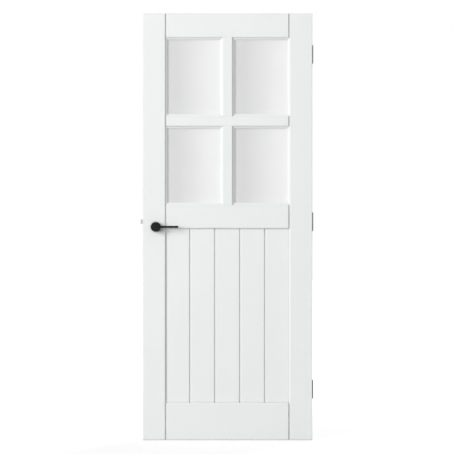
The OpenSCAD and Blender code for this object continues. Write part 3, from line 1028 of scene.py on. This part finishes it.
@dataclass
class LeverSet:
    """Levers, roses and what holds them on both faces."""

    coat: Moulded
    nylon: Moulded
    steel: BrushedMetal
    sharp_deg: float = 30.0
    grub: Screw = Screw(
        head_r=2.5,
        shank_r=2.5,
        length=5.0,
        tip=0.4,
        recess=Recess.HEX,
        reach=1.45,
        depth=2.4,
    )

    def build(self) -> None:
        """Smooths and coats the levers, and sets their grub screws."""
        coat, nylon, steel = self.coat.material(), self.nylon.material(), self.steel.material()
        for side in ("front", "back"):
            lever = smoothed(f"{side}_lever", self.sharp_deg)
            settle(lever, Body.HANDLE, [f"{side}_lever"], coat)
            rose = smoothed(f"{side}_rose", self.sharp_deg)
            settle(rose, Body.LEAF, [f"{side}_rose"], coat)
            dress(nylon, [f"{side}_rose_plate", f"{side}_bush"])
        dress(steel, ["spindle", "rose_screws"])
        low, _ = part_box("front_grub_screw")
        at = middle("front_grub_screw")
        rows = ScrewRows(
            screw=self.grub,
            first=(at.x, 0.0, low.z),
            spread=(0.0, -at.y, 0.0),
            lean=(math.pi, 0.0, 0.0),
        )
        piece = joined("grub_screws", [rows.mesh("grub", steel)])
        settle(piece, Body.HANDLE, ["front_grub_screw", "back_grub_screw"], steel)


@dataclass
class MorticeLatch:
    """Latch case, works and forend in the edge of the lock stile; the bolt's travel in metres."""

    steel: BrushedMetal
    zinc: BrushedMetal
    travel: float = 0.011
    sharp_deg: float = 60.0
    round_mm: float = 0.3
    long_mm: float = 12.0
    screw: Screw = Screw(
        head_r=3.8,
        shank_r=1.9,
        length=22.0,
        tip=3.0,
        recess=Recess.CROSS,
        reach=2.1,
        depth=1.5,
    )

    def build(self) -> None:
        """Dresses the latch, sets the forend's screws and gives the spring a mesh of its own."""
        steel, zinc = self.steel.material(), self.zinc.material()
        dress(zinc, ["latch_case", "latch_cover", "follower"])
        dress(steel, ["latch_bolt", "latch_case_screws"])
        spring = smoothed("latch_spring", self.sharp_deg)
        settle(spring, Body.LEAF, ["latch_spring"], steel)
        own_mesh(spring)
        forend = softened("forend", self.round_mm, self.long_mm)
        settle(forend, Body.LEAF, ["forend"], steel)
        low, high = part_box("forend_screws")
        rows = ScrewRows(
            screw=self.screw,
            first=(low.x, 0.0, (low.z + high.z) / 2),
            spread=(0.0, 0.0, (high.z - low.z) / 2 - self.screw.head_r * MM),
            lean=(0.0, -math.pi / 2, 0.0),
        )
        piece = joined("forend_screw_heads", [rows.mesh("forend_rows", steel)])
        settle(piece, Body.LEAF, ["forend_screws"], steel)


@dataclass
class ButtHinges:
    """Three butt hinges on the edge of the hinge stile.

    Each pair of screws has its place across the leaf and its distance from the middle, in metres.
    """

    steel: BrushedMetal
    nylon: Moulded
    places: tuple[str, ...] = ("top", "middle", "bottom")
    pairs: tuple[tuple[float, float], ...] = ((-0.005, 0.034), (0.005, 0.012))
    sharp_deg: float = 30.0
    round_mm: float = 0.3
    long_mm: float = 20.0
    screw: Screw = Screw(
        head_r=4.2,
        shank_r=2.1,
        length=30.0,
        tip=3.0,
        recess=Recess.CROSS,
        reach=2.3,
        depth=1.7,
    )

    def build(self) -> None:
        """Dresses the hinges and sets the screws of their stile leaves."""
        steel = self.steel.material()
        for name in self.places:
            for part, body in (("stile_leaf", Body.LEAF), ("frame_leaf", Body.FRAME_SIDE)):
                node = f"{name}_hinge_{part}"
                leaf = softened(node, self.round_mm, self.long_mm)
                settle(leaf, body, [node], steel)
            node = f"{name}_hinge_pin"
            pin = smoothed(node, self.sharp_deg)
            settle(pin, Body.FRAME_SIDE, [node], steel)
        dress(self.nylon.material(), ["hinge_washers"])
        _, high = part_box("hinge_screws")
        heights = [middle(f"{name}_hinge_stile_leaf").z for name in reversed(self.places)]
        meshes = [
            ScrewRows(
                screw=self.screw,
                first=(high.x, across, heights[0]),
                spread=(0.0, 0.0, up),
                lean=(0.0, math.pi / 2, 0.0),
                rows=len(self.places),
                step=(0.0, 0.0, heights[1] - heights[0]),
                seed=index,
            ).mesh(f"hinge_rows_{index}", steel)
            for index, (across, up) in enumerate(self.pairs)
        ]
        piece = joined("hinge_screw_heads", meshes)
        settle(piece, Body.LEAF, ["hinge_screws"], steel)


@dataclass(frozen=True)
class Lamp:
    """One soft lamp: its place, its width and height in metres, and its power in watts."""

    name: str
    at: tuple[float, float, float]
    size: tuple[float, float]
    watts: float


@dataclass
class Studio:
    """Floor, surround, lamps and the camera that stands square to the leaf; places in metres.

    The key and the back lamp would burn out the panes, so gloss and glass don't get them. They get
    the sheen lamp, which lights nothing else.
    """

    middle: Vector
    front_y: float
    view_m: float = 2.25
    aside: float = -0.0025
    below: float = 0.001
    away: float = 10.0
    sensor_mm: float = 36.0
    clip_end: float = 100.0
    white: str = "#FFFFFF"
    ambient: float = 0.39
    floor_tones: tuple[str, str] = ("#A6A6A6", "#A2A2A2")
    floor_clouds: float = 3.0
    floor_roughness: float = 0.9
    floor_reach: float = 30.0
    floor_z: float = -1 * MM
    floor_glow: float = 0.72
    glow_reach: tuple[float, float] = (0.8, 4.0)
    key: Lamp = Lamp("key", at=(-7.2, -10.5, 3.6), size=(8.0, 7.0), watts=1450.0)
    back: Lamp = Lamp("back", at=(3.0, 5.2, 2.4), size=(1.8, 3.6), watts=270.0)
    sheen: Lamp = Lamp("sheen", at=(-8.7, -9.3, 3.6), size=(5.0, 5.0), watts=420.0)

    def build(self) -> None:
        """Sets up everything that isn't part of the door."""
        bpy.context.scene.view_settings.view_transform = "Standard"
        self.camera()
        self.surround()
        self.floor()
        for lamp in (self.key, self.back):
            hung = self.hang(lamp)
            hung.visible_glossy = hung.visible_transmission = False
        self.hang(self.sheen).visible_diffuse = False

    def camera(self) -> None:
        """Sets the camera so that the leaf fills the frame as in the photograph."""
        data = bpy.data.cameras.new("camera")
        data.sensor_width = self.sensor_mm
        data.lens = self.sensor_mm * (self.away + self.front_y) / self.view_m
        data.clip_end = self.clip_end
        camera = bpy.data.objects.new("camera", data)
        camera.location = self.middle + Vector((self.aside, -self.away, -self.below))
        camera.rotation_euler = (math.pi / 2, 0.0, 0.0)
        bpy.context.scene.collection.objects.link(camera)
        bpy.context.scene.camera = camera

    @staticmethod
    def seen(tree: bpy.types.NodeTree, low: float, high: float) -> bpy.types.NodeSocket:
        """Tells what is seen, straight or by gloss or glass, from what only lights.

        Args:
            tree: The node tree.
            low: Value for light that falls on things.
            high: Value for what is seen.

        Returns:
            The socket that gives one or the other.
        """
        path = place(tree, "ShaderNodeLightPath").outputs
        direct = place(
            tree,
            "ShaderNodeMath",
            {0: path["Is Camera Ray"], 1: path["Is Glossy Ray"]},
            operation="MAXIMUM",
        )
        either = place(
            tree,
            "ShaderNodeMath",
            {0: direct.outputs[0], 1: path["Is Transmission Ray"]},
            operation="MAXIMUM",
        )
        value = place(
            tree, "ShaderNodeMapRange", {"Value": either.outputs[0], "To Min": low, "To Max": high}
        )
        return value.outputs["Result"]

    def surround(self) -> None:
        """Makes a white surround that lights the door as a soft grey one."""
        world = bpy.data.worlds.new("surround")
        world.use_nodes = True
        tree = world.node_tree
        background = tree.nodes["Background"]
        background.inputs["Color"].default_value = linear(self.white)
        tree.links.new(self.seen(tree, self.ambient, 1.0), background.inputs["Strength"])
        bpy.context.scene.world = world

    def floor(self) -> None:
        """Lays a pale floor that keeps the door's shadow and fades into the surround."""
        material, shader, at = blank("pale_floor")
        tree = material.node_tree
        clouds = place(
            tree, "ShaderNodeTexNoise", {"Vector": at, "Scale": self.floor_clouds, "Detail": 2.0}
        )
        pale, dark = [linear(tone) for tone in self.floor_tones]
        tone = place(
            tree,
            "ShaderNodeMix",
            {MIX_SHARE: clouds.outputs["Fac"], MIX_FIRST: pale, MIX_SECOND: dark},
            data_type="RGBA",
        )
        tree.links.new(tone.outputs[MIXED], shader.inputs["Base Color"])
        shader.inputs["Roughness"].default_value = self.floor_roughness
        shader.inputs["Specular IOR Level"].default_value = 0.0
        shader.inputs["Emission Color"].default_value = linear(self.white)
        away = place(tree, "ShaderNodeVectorMath", {0: at}, operation="LENGTH")
        glow = place(
            tree,
            "ShaderNodeMapRange",
            {
                "Value": away.outputs["Value"],
                "From Min": self.glow_reach[0],
                "From Max": self.glow_reach[1],
                "To Min": self.floor_glow,
                "To Max": 1.0,
            },
        )
        strength = place(
            tree,
            "ShaderNodeMath",
            {0: glow.outputs["Result"], 1: self.seen(tree, 0.0, 1.0)},
            operation="MULTIPLY",
        )
        tree.links.new(strength.outputs[0], shader.inputs["Emission Strength"])
        mesh = bpy.data.meshes.new("floor")
        signs = ((-1, -1), (1, -1), (1, 1), (-1, 1))
        corners = [(self.floor_reach * x, self.floor_reach * y, self.floor_z) for x, y in signs]
        mesh.from_pydata(corners, [], [(0, 1, 2, 3)])
        mesh.materials.append(material)
        new_piece("floor", mesh)

    def hang(self, lamp: Lamp) -> bpy.types.Object:
        """Hangs a lamp so that it faces the middle of the door.

        Args:
            lamp: The lamp.

        Returns:
            Its object.
        """
        data = bpy.data.lights.new(lamp.name, "AREA")
        data.shape = "RECTANGLE"
        data.size, data.size_y = lamp.size
        data.energy = lamp.watts
        hung = bpy.data.objects.new(lamp.name, data)
        hung.location = lamp.at
        hung.rotation_euler = (self.middle - Vector(lamp.at)).to_track_quat("-Z", "Y").to_euler()
        hung.visible_camera = False
        bpy.context.scene.collection.objects.link(hung)
        return hung


def main() -> None:
    """Builds the door's sub-assemblies and the studio."""
    logging.basicConfig(level=logging.INFO, format="%(name)s: %(message)s")
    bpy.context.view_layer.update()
    lower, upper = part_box("lock_stile")
    upright = SprayedLacquer("sprayed_lacquer_upright", Axis.Z)
    level = SprayedLacquer("sprayed_lacquer_level", Axis.X)
    # Painted shade in the joints: lighter on the boards, and on the beads no darker than the
    # lacquer's own tone.
    boards = SprayedLacquer("sprayed_lacquer_boards", Axis.Z, painted_shade="#BEC2C0")
    beads = SprayedLacquer("sprayed_lacquer_beads", Axis.Z, painted_shade="#E8ECEA")
    nickel = BrushedMetal(
        "satin_nickel_plate", "#C6C5C1", "#B3B2AE", brush=Axis.Z, gloss=(0.28, 0.4)
    )
    zinc = BrushedMetal("zinc_plate", "#B4B7B8", "#9EA2A4", brush=Axis.X, gloss=(0.3, 0.45))
    coat = Moulded(
        "black_powder_coat",
        "#0B0B0C",
        "#060607",
        gloss=(0.34, 0.48),
        grit_mm=0.6,
        deep_mm=0.05,
        specular=0.22,
    )
    nylon = Moulded(
        "moulded_nylon", "#E4E1D8", "#D9D6CC", gloss=(0.45, 0.6), grit_mm=0.8, deep_mm=0.02
    )
    tape = Moulded(
        "foam_tape",
        "#CFCFCD",
        "#BFBFBD",
        gloss=(0.8, 0.95),
        grit_mm=0.5,
        deep_mm=0.08,
        specular=0.2,
    )
    rubber = Moulded(
        "setting_rubber",
        "#2B2B2B",
        "#202020",
        gloss=(0.6, 0.75),
        grit_mm=0.7,
        deep_mm=0.05,
        specular=0.3,
    )
    left_low, left_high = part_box("pane_upper_left")
    right_low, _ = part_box("pane_upper_right")
    glass = SatinGlass(
        "satin_glass",
        first_x=left_low.x,
        pitch=right_low.x - left_low.x,
        width=left_high.x - left_low.x,
    )
    Joinery(upright, level, PlanedBeech("planed_beech")).build()
    BoardPanel(boards).build()
    Glazing(glass, beads, tape, rubber).build()
    LeverSet(coat, nylon, nickel).build()
    MorticeLatch(nickel, zinc).build()
    ButtHinges(nickel, nylon).build()
    Studio(Vector((0.0, 0.0, (lower.z + upper.z) / 2)), front_y=lower.y).build()


if __name__ == "__main__":
    main()
